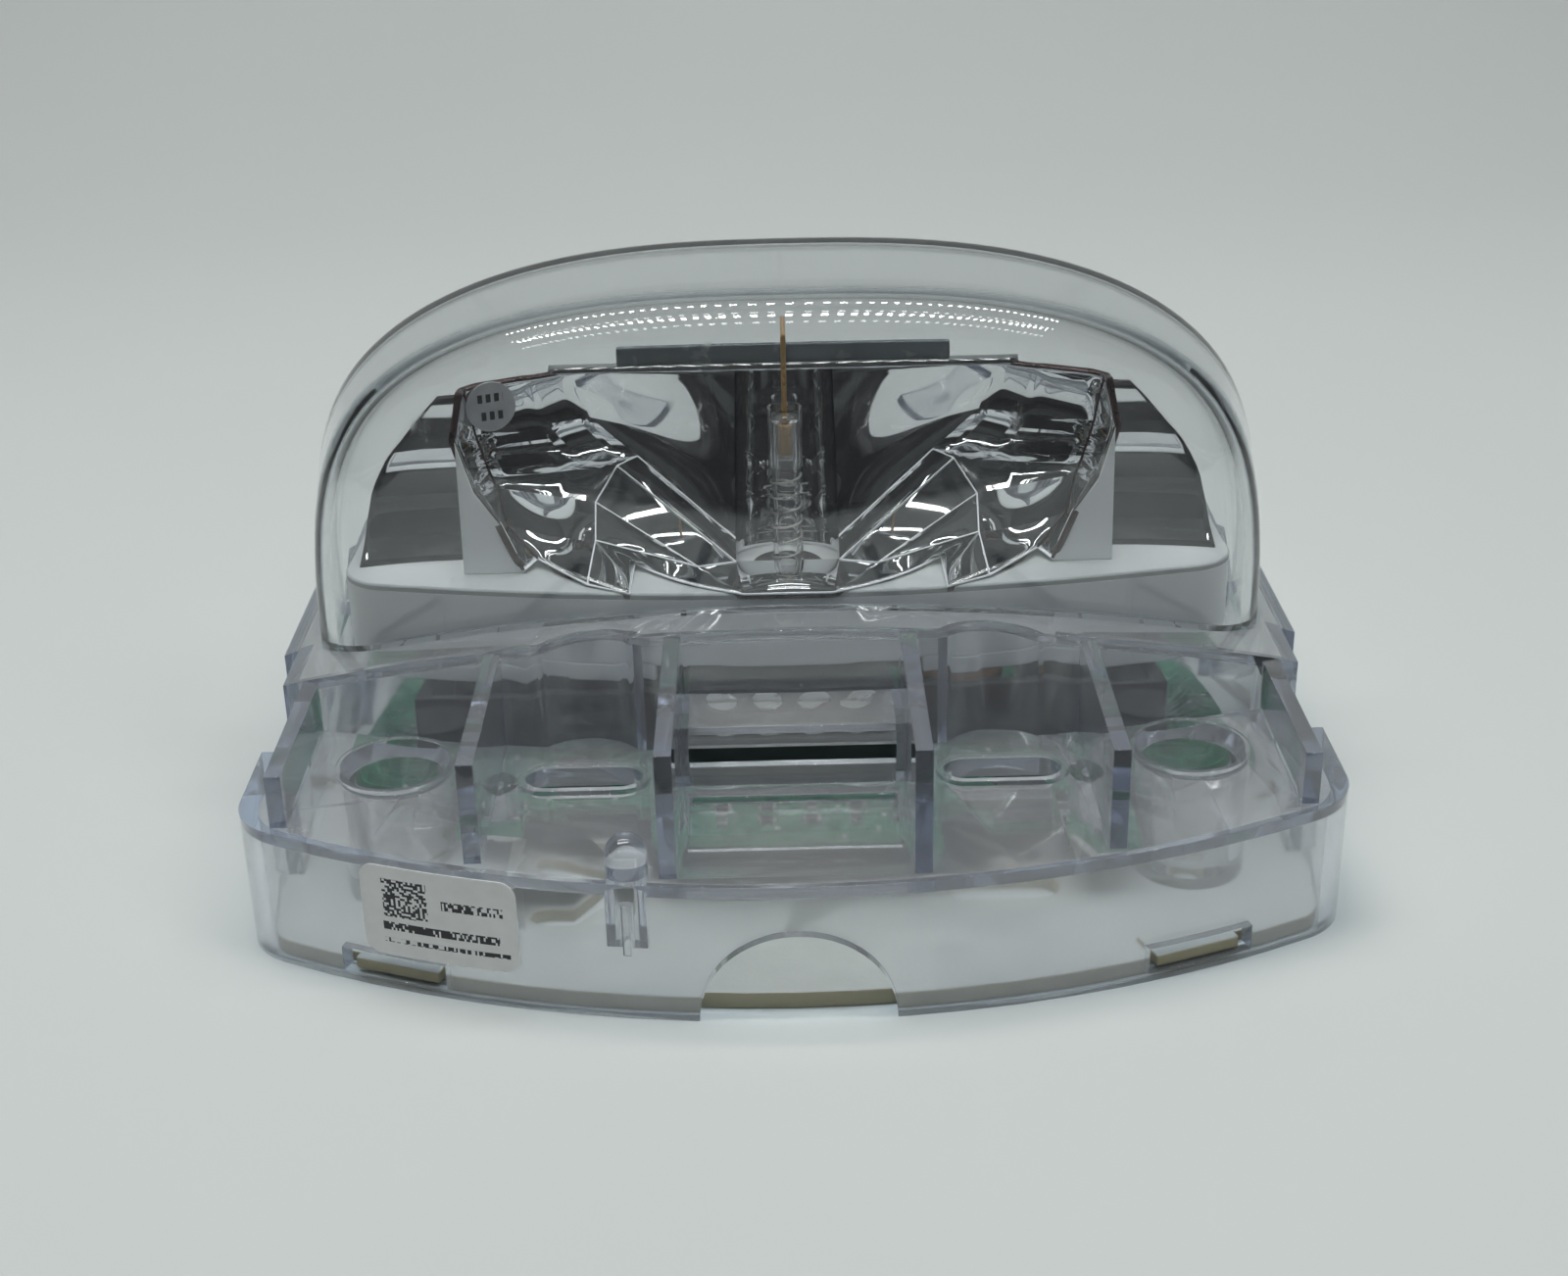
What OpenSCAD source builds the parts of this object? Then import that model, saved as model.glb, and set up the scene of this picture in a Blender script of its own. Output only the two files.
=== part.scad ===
// Wall-mount horn strobe with its cover off, lying on its back.
// +Z points out of the wall, -Y down the wall, and the origin is at the middle of the wall face.

/* [Housing] */
// Width across the wall
body_w = 120.7; // [119:0.1:123]
// Height up the wall
body_h = 130.2; // [129:0.1:133]
// Height of the ledge deck above the wall
deck_z = 16.15; // [15.8:0.05:16.6]
// Wall thickness of the clear moulding
wall = 2; // [1.8:0.1:2.2]
// Radius of the bowed lower and upper edges
bow_r = 123; // [121:1:126]
// Radius of the plan corners
corner_r = 8; // [7:0.5:9]

/* [Tier] */
// Height of the tier's crown above the deck, at the middle
crown_h = 14.8; // [14:0.1:15.5]
// Radius of the crowned top across the width
crown_r = 185; // [180:1:195]
// Radius of the tier's bowed walls
tier_bow_r = 204; // [195:1:215]
// Distance from the middle to the tier's bowed walls
tier_y = 35.4; // [35:0.1:35.8]
// Thickness of the partition ribs
rib_t = 1.8; // [1.5:0.1:2]

/* [Lens dome] */
// Half width of the dome at its foot
dome_a = 57.9; // [57:0.1:58.2]
// Height of the dome's top above the wall
dome_top = 67.1; // [66:0.1:68]
// Front of the dome at its foot
dome_front = -30.4; // [-31:0.1:-30]
// Rear face of the dome
dome_rear = -2.5; // [-3:0.1:-2]
// Thickness of the lens
lens_t = 2.2; // [2:0.1:2.4]

/* [Mounting] */
// Spacing of the round screw wells across the width (octagon and square box ears)
well_dx = 88.9; // [88:0.1:90]
// Spacing of the round screw wells up the wall
well_dy = 74.6; // [74:0.1:75]
// Spacing of the screw slots across the width (two-gang box)
slot_dx = 46; // [45.8:0.1:46.2]
// Spacing of the screw slots up the wall (one- and two-gang boxes)
slot_dy = 83.3; // [83:0.1:83.6]
// Length of a screw slot
slot_len = 13; // [12:0.1:13.2]
// Width of a screw slot
slot_w = 5; // [4.6:0.1:5.2]
// Radius of the screw holes at the bottom of the wells
well_hole_r = 2.2; // [2:0.1:2.4]
// Thickness of the back plate
plate_t = 2; // [1.8:0.1:2]

/* [Strobe] */
// Outer diameter of the flash tube
tube_d = 3.2; // [3:0.1:3.4]
// Length of the flash tube's glass
tube_len = 22; // [20:0.5:23]
// Place of the tube in front of the housing's middle
tube_y = -18; // [-18.5:0.1:-17.5]

/* [Horn] */
// Place of the horn above the housing's middle
horn_y = 16.2; // [16:0.1:16.4]
// Outer radius of the horn's housing
horn_r = 16; // [15.8:0.1:16.1]

/* [Terminals] */
// Spacing of the terminals
pitch = 5.5; // [5.4:0.1:5.6]

/* [Hidden] */
$fn = 64;

// Housing outline: two bows and four corner arcs that meet them on a tangent
bow_c = bow_r - body_h / 2;
corner_x = body_w / 2 - corner_r;
corner_y = sqrt(pow(bow_r - corner_r, 2) - pow(corner_x, 2)) - bow_c;
corner_a = atan2(corner_y + bow_c, corner_x);
// Side recesses between the ledge and the full-width part of the tier
recess_x = body_w / 2 - 1.85;
recess_y1 = 17.5;
recess_y2 = 33;
// Tier
tier_c = tier_bow_r - tier_y;
crown_c = deck_z + crown_h - crown_r;
rib_x = [13, 33.3, 55];
scoop_r = 6.5;
scoop_y = 38;
hood_x = 12.3;
hood_y = -43.5;
hood_top = 23.3;
hood_slot = [18.5, 20.8];
window = [11.2, -57, -46];
// Lens dome section, a superellipse above dome_z
dome_z = 30;
dome_n = 2.6;
dome_bow_r = 195;
dome_slope = 7.5;
// Circuit board
board_z = 8;
board_t = 1.6;
board_top = board_z + board_t;
boss = [33.3, 40.5];
// Reflector
plate_z = 30.9;
sheet_top = 53.4;
hem_z = 21;
channel_r = 5.5;
channel_y = -12.4;
// Tube
tube_z = 28;
tube_r = tube_d / 2;
// Terminals, whose screws face the hood's slot
screw_z = (hood_slot[0] + hood_slot[1]) / 2;
block_y = -32.4;
// Slide switches
switch_x = 7.5;
switch_y = 41.5;
knob_travel = 2;
// Snap tongues of the back plate and their slots in the skirt
snap_x = 43;

// ---- outlines ----

function arc(c, r, a0, a1, n, skip = 0) =
    [for (i = [skip:n - skip]) let (a = a0 + (a1 - a0) * i / n) [c[0] + r * cos(a), c[1] + r * sin(a)]];

function plan(inset) = let (r = corner_r - inset, b = bow_r - inset) concat(
    arc([corner_x, corner_y], r, 0, corner_a, 7),
    arc([0, -bow_c], b, corner_a, 180 - corner_a, 20, 1),
    arc([-corner_x, corner_y], r, 180 - corner_a, 180, 7),
    arc([-corner_x, -corner_y], r, 180, 180 + corner_a, 7),
    arc([0, bow_c], b, 180 + corner_a, 360 - corner_a, 20, 1),
    arc([corner_x, -corner_y], r, 360 - corner_a, 360, 7));

function tier_plan(inset) = let (
        x1 = recess_x - inset, x2 = body_w / 2 - 0.15 - inset, y = recess_y1 - inset,
        r = tier_bow_r - inset, a = acos(x1 / r)) concat(
    [[x2, -y], [x2, y], [x1, y]],
    arc([0, -tier_c], r, a, 180 - a, 20),
    [[-x1, y], [-x2, y], [-x2, -y], [-x1, -y]],
    arc([0, tier_c], r, 180 + a, 360 - a, 20),
    [[x1, -y]]);

function dome_plan(inset) = let (
        r = dome_bow_r - inset, k = 7, c = dome_front + dome_bow_r, x = dome_a - k,
        y = c - sqrt(pow(dome_bow_r - k, 2) - x * x), a = atan2(c - y, x), q = k - inset) concat(
    arc([-x, y], q, 180, 180 + a, 6),
    arc([0, c], r, 180 + a, 360 - a, 20, 1),
    arc([x, y], q, 360 - a, 360, 6),
    [[dome_a - inset, dome_rear - inset], [inset - dome_a, dome_rear - inset]]);

function dome_section(inset) = concat(
    [for (i = [0:28]) let (t = 180 * i / 28, c = cos(t), s = sin(t)) [
        (dome_a - inset) * sign(c) * pow(abs(c), 2 / dome_n),
        dome_z + (dome_top - inset - dome_z) * pow(abs(s), 2 / dome_n)]],
    [[inset - dome_a, deck_z - 2], [dome_a - inset, deck_z - 2]]);

// Places the child at the four corners of a rectangle
module corners(dx, dy) {
    for (sx = [-1, 1], sy = [-1, 1]) translate([sx * dx / 2, sy * dy / 2, 0]) children();
}

// Block from one corner to the other
module block(a, b) {
    translate(a) cube(b - a);
}

module slot2d(w) {
    square([slot_len - slot_w, w], center = true);
    for (s = [-1, 1]) translate([s * (slot_len - slot_w) / 2, 0]) circle(d = w);
}

module recesses2d(x, y1, y2) {
    for (sx = [-1, 1], sy = [-1, 1]) translate([sx * (x + 5), sy * (y1 + y2) / 2])
        square([10, y2 - y1], center = true);
}

module scoops2d(r) {
    corners(slot_dx, 2 * scoop_y) circle(r);
}

// Cylinder whose upper side is the tier's crown
module crown_cylinder(r) {
    translate([0, 0, crown_c]) rotate([90, 0, 0]) cylinder(r = r, h = 200, center = true, $fn = 200);
}

// Solid under the tier's crowned top
module crowned(drop) {
    intersection() {
        children();
        crown_cylinder(crown_r - drop);
    }
}

// Turns the child about each bow's centre, so that its own -Y meets the skirt squarely
module on_bows(x) {
    for (s = [-x, x], m = [0, 1]) mirror([0, m, 0]) translate([0, bow_c, 0])
        rotate([0, 0, asin(s / bow_r)]) children();
}

// ---- clear moulding ----

module skirt() {
    difference() {
        linear_extrude(deck_z) difference() {
            polygon(plan(0));
            recesses2d(recess_x, recess_y1, recess_y2);
        }
        translate([0, 0, -1]) linear_extrude(deck_z - wall + 1) difference() {
            polygon(plan(wall));
            recesses2d(recess_x - wall, recess_y1 - wall, recess_y2 + wall);
        }
    }
}

module tier() {
    crowned(0) translate([0, 0, deck_z - wall]) linear_extrude(30) difference() {
        polygon(tier_plan(0));
        scoops2d(scoop_r);
    }
}

module tier_hollow() {
    crowned(wall - 0.2) translate([0, 0, deck_z - wall - 1]) linear_extrude(30) difference() {
        polygon(tier_plan(wall));
        scoops2d(scoop_r + wall);
    }
}

module ribs() {
    for (sx = [-1, 1], x = rib_x, sy = [-1, 1]) {
        y_out = sqrt(pow(bow_r, 2) - x * x) - bow_c - 1.6;
        y_in = sqrt(pow(tier_bow_r, 2) - x * x) - tier_c - wall / 2;
        top = crown_c + sqrt(pow(crown_r, 2) - x * x);
        translate([sx * x - rib_t / 2, sy > 0 ? y_in : -y_out, deck_z - 1])
            cube([rib_t, y_out - y_in, top - deck_z + 0.7]);
    }
}

module well() {
    rim = deck_z + 0.5;
    rotate_extrude() polygon([
        [well_hole_r, plate_t], [6.2, plate_t], [6.2, deck_z - 0.5], [6.65, deck_z - 0.5], [6.65, rim],
        [6.1, rim], [4.75, deck_z - 2.6], [4.75, 4.2], [well_hole_r, 4.2]]);
}

// Letter-box hood over the terminals
module hood() {
    block([-hood_x, hood_y, deck_z - 1], [hood_x, -tier_y + wall, hood_top]);
}

module hood_hollow() {
    block([-hood_x + 1, hood_y + 1.2, deck_z - 4], [hood_x - 1, -tier_y + wall + 2, hood_top - 1.2]);
    block([-hood_x + 1, hood_y - 1, hood_slot[0]], [hood_x - 1, hood_y + 3, hood_slot[1]]);
}

module cover_post() {
    translate([-17.3, -61.2, 8]) {
        cylinder(d = 4.4, h = 10.4);
        translate([0, 0, 10.4]) sphere(d = 4.4);
    }
}

module chassis() {
    color([0.80, 0.85, 0.90, 0.45]) difference() {
        union() {
            difference() {
                union() {
                    skirt();
                    tier();
                }
                tier_hollow();
                corners(well_dx, well_dy) cylinder(r = 5.9, h = 40);
                translate([0, 0, deck_z - 3]) linear_extrude(4) corners(slot_dx, slot_dy) slot2d(slot_w);
            }
            ribs();
            hood();
            corners(well_dx, well_dy) well();
            corners(slot_dx, slot_dy) translate([0, 0, deck_z - wall]) linear_extrude(wall + 0.6)
                difference() { slot2d(slot_w + 1.6); slot2d(slot_w); }
            corners(2 * boss[0], 2 * boss[1]) translate([0, 0, board_top])
                cylinder(d = 5.6, h = deck_z - 1 - board_top);
            cover_post();
        }
        hood_hollow();
        // recessed window in front of the hood
        block([-window[0], window[1], deck_z - 0.9], [window[0], window[2], deck_z + 1]);
        // mouth of the dome in the tier's top
        translate([0, 0, 20]) linear_extrude(20) polygon(dome_plan(lens_t + 0.4));
        // horn grille
        for (i = [-3:3]) let (y = 4 * i, l = 2 * sqrt(185 - y * y))
            block([-l / 2, horn_y + y - 1, 20], [l / 2, horn_y + y + 1, 40]);
        // screw pilots
        corners(2 * boss[0], 2 * boss[1]) translate([0, 0, board_z]) cylinder(r = 1.3, h = 5.6);
        translate([-17.3, -61.2, 7]) cylinder(d = 1.6, h = 6);
        // openings for the slide switches' knobs
        for (x = [-switch_x, switch_x])
            block([x - 2.6, switch_y - 1.3, 10], [x + 2.6, switch_y + 1.3, 20]);
        // wire notch and snap slots in the skirt
        translate([0, -55, 0]) rotate([90, 0, 0]) cylinder(r = 10.3, h = 20);
        on_bows(snap_x) block([-6.2, -bow_r - 2, 1], [6.2, -bow_r + 4, 4]);
    }
}

module dome_form(inset) {
    difference() {
        intersection() {
            translate([0, 40, 0]) rotate([90, 0, 0]) linear_extrude(90) polygon(dome_section(inset));
            linear_extrude(80) polygon(dome_plan(inset));
        }
        translate([-80, dome_rear, dome_top - inset]) rotate([dome_slope, 0, 0]) translate([0, -60, 0])
            cube([160, 60, 20]);
    }
}

module lens_dome() {
    color([0.86, 0.90, 0.94, 0.35]) difference() {
        dome_form(0);
        dome_form(lens_t);
        crown_cylinder(crown_r);
    }
}

// ---- wall side ----

module back_plate() {
    color([0.93, 0.90, 0.78]) {
        difference() {
            linear_extrude(plate_t) difference() {
                polygon(plan(wall + 0.35));
                recesses2d(recess_x - wall - 0.35, recess_y1 - wall - 0.35, recess_y2 + wall + 0.35);
                square([52, 36], center = true);
                corners(slot_dx, slot_dy) slot2d(slot_w);
            }
            corners(well_dx, well_dy) translate([0, 0, -1]) cylinder(r = well_hole_r, h = 5);
        }
        corners(90, 40) cylinder(r = 2.5, h = board_z);
        on_bows(snap_x) block([-5, -bow_r + 0.7, 1.2], [5, -bow_r + 6, plate_t + 0.6]);
    }
}

module label() {
    height = 11;
    span = 8.3;
    color("white") intersection() {
        translate([0, bow_c, 4.4]) rotate([0, 0, 248.2]) rotate_extrude(angle = span, $fn = 200)
            translate([bow_r + 0.01, 0]) square([0.12, height]);
        translate([0, bow_c, 4.4 + height / 2]) rotate([0, 0, 248.2 + span / 2]) rotate([90, 0, 90])
            linear_extrude(bow_r + 5) offset(r = 1.8)
                square([2 * bow_r * sin(span / 2) - 3.7, height - 3.7], center = true);
    }
}

// ---- board and its parts ----

module circuit_board() {
    color([0.05, 0.30, 0.18]) translate([0, 0, board_z]) linear_extrude(board_t) difference() {
        union() {
            square([104, 60], center = true);
            translate([-37.4, -44]) square([74.8, 90]);
        }
        for (sx = [-1, 1], sy = [-1, 1]) translate([sx * slot_dx / 2, sy * (slot_dy / 2 + 3)])
            square([slot_len + 1.4, slot_w + 7.4], center = true);
        corners(2 * boss[0], 2 * boss[1]) circle(1.6);
        translate([-10.8, -31]) square([21.6, 7]);
    }
}

module board_screws() {
    color("silver") corners(2 * boss[0], 2 * boss[1]) {
        translate([0, 0, board_z]) cylinder(r = 1.25, h = 5);
        translate([0, 0, board_z - 1.8]) cylinder(r = 2.7, h = 1.8);
    }
}

module inner_frame() {
    z = 13;
    top = 20.6;
    color([0.06, 0.06, 0.07]) {
        difference() {
            block([-43, -28.2, z], [43, -4.5, top]);
            block([-41, -26.6, z - 1], [41, -6.5, top + 1]);
            block([-13.4, -30, z - 1], [13.4, -26, top + 1]);
        }
        for (m = [0, 1]) mirror([m, 0, 0]) {
            block([41, -12.5, z], [43, -7.1, plate_z]);
            block([41, -20.4, z], [43, -15.4, plate_z]);
            block([41, -18, board_top], [43, -14, z + 1]);
        }
    }
}

module chip_set() {
    color([0.08, 0.08, 0.09]) for (p = [[-32, 14], [-32, 26], [34, 30], [-24, -33], [26, -35]])
        translate([p[0], p[1], board_top]) translate([-3, -2.5, 0]) cube([6, 5, 1.6]);
}

module flash_capacitor() {
    color([0.12, 0.13, 0.16]) translate([-39.5, -16, board_top + 6.5]) rotate([0, 90, 0]) {
        cylinder(r = 6.5, h = 26);
        translate([0, 0, 26]) cylinder(r = 5.4, h = 0.8);
    }
}

module trigger_transformer() {
    color([0.75, 0.62, 0.25]) translate([2, -14, board_top]) {
        translate([-4.5, -4.5, 0]) cube([9, 9, 3]);
        cylinder(r = 3.6, h = 10);
        translate([0, 0, 10]) cylinder(r = 4.5, h = 1);
    }
}

module inductor() {
    color([0.70, 0.35, 0.12]) translate([20, -17, board_top]) {
        cylinder(r = 5.5, h = 1.2);
        translate([0, 0, 1.2]) cylinder(r = 4.4, h = 6);
        translate([0, 0, 7.2]) cylinder(r = 5.5, h = 1.2);
    }
}

module power_transistor() {
    color([0.15, 0.15, 0.16]) translate([33.5, -11.5, board_top]) {
        translate([-5, -2.2, 3]) cube([10, 4.4, 9]);
        translate([-5, 2.2, 3]) cube([10, 1.2, 14]);
        for (x = [-2.5, 0, 2.5]) translate([x - 0.4, -0.5, 0]) cube([0.8, 0.6, 3]);
    }
}

module pin_header() {
    color([0.92, 0.90, 0.84]) translate([26, horn_y, board_top]) difference() {
        translate([-1.5, -3.5, 0]) cube([3, 7, 6]);
        for (y = [-1.3, 1.3]) translate([-2, y, 3.4]) rotate([0, 90, 0]) cylinder(r = 0.65, h = 5);
    }
}

module terminal_x(i) {
    translate([(i - 2.5) * pitch, 0, 0]) children();
}

module terminal_block() {
    color([0.07, 0.08, 0.08]) difference() {
        block([-11.5, block_y, board_top], [11.5, -22.8, 22.6]);
        for (i = [1:4]) terminal_x(i) {
            block([-2.1, -30.6, board_top - 1], [2.1, -23.6, 22]);
            translate([0, -29, screw_z]) rotate([90, 0, 0]) cylinder(r = 1.87, h = 6);
        }
    }
}

module terminal_contacts() {
    color("gold") for (i = [1:4]) terminal_x(i) block([-1.1, -27.2, board_z], [1.1, -26.6, 22]);
}

module terminal_screw(i) {
    color([0.78, 0.78, 0.76]) terminal_x(i) translate([0, -30.7, screw_z]) rotate([90, 0, 0]) {
        difference() {
            cylinder(r = 1.8, h = 1.5);
            translate([-2, -0.25, 0.8]) cube([4, 0.5, 1]);
        }
        translate([0, 0, -3.2]) cylinder(r = 1.2, h = 3.3);
    }
}

module terminal_cage(i) {
    color([0.80, 0.74, 0.50]) terminal_x(i) difference() {
        block([-1.9, -30.2, 10.4], [1.9, -25.4, 21.6]);
        block([-1.3, -29.2, 9], [1.3, -26.2, 23]);
        translate([0, -28, screw_z]) rotate([90, 0, 0]) cylinder(r = 1.25, h = 4);
    }
}

module slide_switch(x) {
    color([0.10, 0.10, 0.11]) translate([x, switch_y, board_top]) difference() {
        translate([-4.2, -2.2, 0]) cube([8.4, 4.4, 3.8]);
        translate([-2.4, -1.1, 1.2]) cube([4.8, 2.2, 4]);
    }
}

module slide_knob(x) {
    color([0.93, 0.93, 0.90]) translate([x - knob_travel / 2, switch_y, board_top + 1.4]) {
        translate([-1.1, -0.9, 0]) cube([2.2, 1.8, 6.4]);
    }
}

// ---- strobe ----

// Curved sheet with the tube's channel down its middle, seen from above
function sheet_y(x) = -7.5 - 12 * pow(x / 44, 2);

module reflector_sheet(t) {
    half = [for (x = [44:-4:8]) x];
    function side(off, r, a) = concat(
        [for (x = half) [x, sheet_y(x) - off]],
        arc([0, channel_y], r, a, 180 - a, 10),
        [for (i = [len(half) - 1:-1:0]) [-half[i], sheet_y(half[i]) - off]]);
    back = side(0, channel_r + t, 35);
    front = side(t, channel_r, 20);
    polygon(concat(back, [for (i = [len(front) - 1:-1:0]) front[i]]));
}

// Low wall along the zigzag front lip
module lip2d() {
    path = [[0, -26.4], [5, -26], [17.6, -17.6], [17.8, -24.4], [31, -18.6], [43, -19.6]];
    for (s = [-1, 1], i = [0:4]) let (a = path[i], d = path[i + 1] - a)
        translate([s * a[0], a[1]]) rotate([0, 0, atan2(d[1], s * d[0])])
            translate([-0.4, -0.4]) square([norm(d) + 0.8, 0.8]);
}

// Outline of the reflector's plate
module plate2d(inset) {
    intersection() {
        polygon(dome_plan(lens_t + 1.4 + inset));
        translate([inset - 51.6, -40]) square([103.2 - 2 * inset, 34.2]);
    }
}

module reflector() {
    color([0.85, 0.86, 0.88]) difference() {
        union() {
            translate([0, 0, plate_z]) linear_extrude(1.1) plate2d(0);
            difference() {
                translate([0, 0, hem_z]) linear_extrude(plate_z + 0.5 - hem_z) difference() {
                    plate2d(0);
                    plate2d(0.9);
                }
                block([-13.4, -30, hem_z - 1], [13.4, -20, hem_z + 2]);
            }
            intersection() {
                translate([0, 0, plate_z]) linear_extrude(sheet_top - plate_z) reflector_sheet(1);
                rotate([90, 0, 0]) linear_extrude(90) polygon(dome_section(lens_t + 3.3));
            }
            translate([0, 0, plate_z]) linear_extrude(3) lip2d();
        }
        translate([0, tube_y, 20]) cylinder(r = 4.1, h = 20);
    }
}

module flash_tube() {
    color([0.9, 0.95, 1, 0.4]) translate([0, tube_y, tube_z]) difference() {
        cylinder(r = tube_r, h = tube_len);
        translate([0, 0, 0.6]) cylinder(r = tube_r - 0.5, h = tube_len - 1.2);
        translate([0, 0, -1]) cylinder(r = 0.35, h = tube_len + 2);
    }
}

// Electrode inside the glass with its lead
module electrode(slug, lead) {
    cylinder(r = 0.8, h = slug);
    translate([0, 0, -lead]) cylinder(r = 0.3, h = lead + 0.1);
}

module tube_anode() {
    color([0.45, 0.30, 0.12]) {
        translate([0, tube_y, tube_z + tube_len - 1]) mirror([0, 0, 1]) electrode(3.5, 10);
        translate([0, tube_y, tube_z + tube_len + 9]) sphere(r = 0.3);
        translate([0, -7, tube_z + tube_len + 9]) rotate([90, 0, 0]) cylinder(r = 0.3, h = -7 - tube_y);
    }
}

module tube_cathode() {
    color([0.6, 0.6, 0.6]) translate([0, tube_y, tube_z + 1]) electrode(3, 7);
}

module tube_sleeve() {
    color([0.85, 0.85, 0.85, 0.5]) translate([0, tube_y, tube_z + tube_len - 6]) difference() {
        cylinder(r = tube_r + 0.4, h = 7);
        translate([0, 0, -1]) cylinder(r = tube_r + 0.02, h = 9);
    }
}

module tube_socket() {
    color([0.08, 0.07, 0.07]) difference() {
        translate([0, tube_y, 24]) cylinder(r = 4.1, h = 8);
        translate([0, tube_y, tube_z - 0.02]) cylinder(r = tube_r + 0.02, h = 10);
        translate([0, tube_y, 20]) cylinder(r = 0.35, h = 10);
    }
}

module trigger_wire() {
    color([0.7, 0.7, 0.72]) translate([0, tube_y, 0]) {
        for (z = [33.5, 36.5, 39.5, 42.5]) translate([0, 0, z]) rotate_extrude()
            translate([tube_r + 0.17, 0]) circle(r = 0.15, $fn = 16);
        translate([0, tube_r + 0.17, 32.6]) cylinder(r = 0.15, h = 10.8, $fn = 16);
    }
}

module candela_sticker() {
    color([0.75, 0.76, 0.77]) translate([-33.3, -15.45, 51]) rotate([0, 0, 22.4]) rotate([90, 0, 0])
        cylinder(r = 2.9, h = 0.2);
}

// ---- horn ----

module horn_part() {
    translate([0, horn_y, 0]) rotate_extrude() children();
}

module horn_housing() {
    color([0.07, 0.07, 0.08]) {
        horn_part() polygon([[0, 10.6], [horn_r, 10.6], [horn_r, 26], [14.5, 26], [14.5, 12.1], [0, 12.1]]);
        for (a = [90, 210, 330]) translate([13 * cos(a), horn_y + 13 * sin(a), board_top])
            cylinder(r = 1.5, h = 2);
    }
}

module horn_magnet() {
    color([0.35, 0.35, 0.37]) horn_part() {
        polygon([[0, 12.1], [8, 12.1], [8, 16], [5, 16], [5, 12.9], [2.4, 12.9], [2.4, 16.5], [0, 16.5]]);
    }
}

module horn_coil() {
    color([0.72, 0.38, 0.14]) horn_part() translate([2.5, 12.9]) square([2.2, 3.4]);
}

module horn_diaphragm() {
    color([0.80, 0.78, 0.70]) horn_part() polygon([[0, 18.8], [4, 18.6], [8, 18], [13.8, 18], [13.8, 18.3],
        [8, 18.3], [4.1, 18.9], [0, 19.1]]);
}

module horn_ring() {
    color([0.55, 0.56, 0.58]) horn_part() translate([12.4, 26]) square([3.5, 1.1]);
}

module horn_gasket() {
    color([0.10, 0.10, 0.10]) crowned(wall - 0.2) horn_part() translate([12.8, 27.1]) square([2.7, 3]);
}

module horn_leads() {
    color([0.75, 0.12, 0.10]) for (y = [-1.3, 1.3]) translate([horn_r - 0.03, horn_y + y, board_top + 3.4])
        rotate([0, 90, 0]) cylinder(r = 0.6, h = 26.5 - horn_r);
}

chassis();
lens_dome();
back_plate();
circuit_board();
board_screws();
inner_frame();
reflector();
flash_tube();
tube_anode();
tube_cathode();
tube_sleeve();
tube_socket();
trigger_wire();
candela_sticker();
label();
flash_capacitor();
trigger_transformer();
inductor();
power_transistor();
chip_set();
pin_header();
terminal_block();
terminal_contacts();
terminal_screw(1);  // terminal_screw_1
terminal_screw(2);  // terminal_screw_2
terminal_screw(3);  // terminal_screw_3
terminal_screw(4);  // terminal_screw_4
terminal_cage(1);  // terminal_cage_1
terminal_cage(2);  // terminal_cage_2
terminal_cage(3);  // terminal_cage_3
terminal_cage(4);  // terminal_cage_4
slide_switch(-switch_x);  // volume_switch
slide_knob(-switch_x);  // volume_knob
slide_switch(switch_x);  // tone_switch
slide_knob(switch_x);  // tone_knob
horn_housing();
horn_magnet();
horn_coil();
horn_diaphragm();
horn_ring();
horn_gasket();
horn_leads();
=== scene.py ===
"""Looks of a wall-mount horn strobe, cover off, lying on its back.

Lengths are in millimetres until scaled by MM.
"""

import math
import random

import bmesh
import bpy
from mathutils import Matrix, Vector


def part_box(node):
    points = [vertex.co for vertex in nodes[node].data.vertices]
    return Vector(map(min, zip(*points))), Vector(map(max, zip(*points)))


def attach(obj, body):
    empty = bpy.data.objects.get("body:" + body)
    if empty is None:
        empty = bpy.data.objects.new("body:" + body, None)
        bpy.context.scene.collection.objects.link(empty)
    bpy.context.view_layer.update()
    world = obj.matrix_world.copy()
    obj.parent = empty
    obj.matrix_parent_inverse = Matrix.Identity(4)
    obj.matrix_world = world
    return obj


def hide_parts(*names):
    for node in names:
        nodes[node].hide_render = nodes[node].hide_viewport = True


MM = 0.001
CELL_HASH = (12.9898, 78.233, 43.5453)  # multipliers of the usual sine hash
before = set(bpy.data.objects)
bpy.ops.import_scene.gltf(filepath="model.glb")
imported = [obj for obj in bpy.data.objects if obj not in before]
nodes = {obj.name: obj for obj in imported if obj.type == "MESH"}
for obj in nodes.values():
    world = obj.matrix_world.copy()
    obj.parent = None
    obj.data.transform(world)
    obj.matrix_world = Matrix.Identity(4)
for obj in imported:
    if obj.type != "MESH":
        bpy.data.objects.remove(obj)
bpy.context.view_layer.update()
HOUSING = "housing"


def low(node):
    """Lowest corner of a CAD node, in millimetres."""
    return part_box(node)[0] / MM


def high(node):
    """Highest corner of a CAD node, in millimetres."""
    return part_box(node)[1] / MM


DOME_LOW, DOME_HIGH = low("lens_dome"), high("lens_dome")


# ---- materials ----


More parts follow.
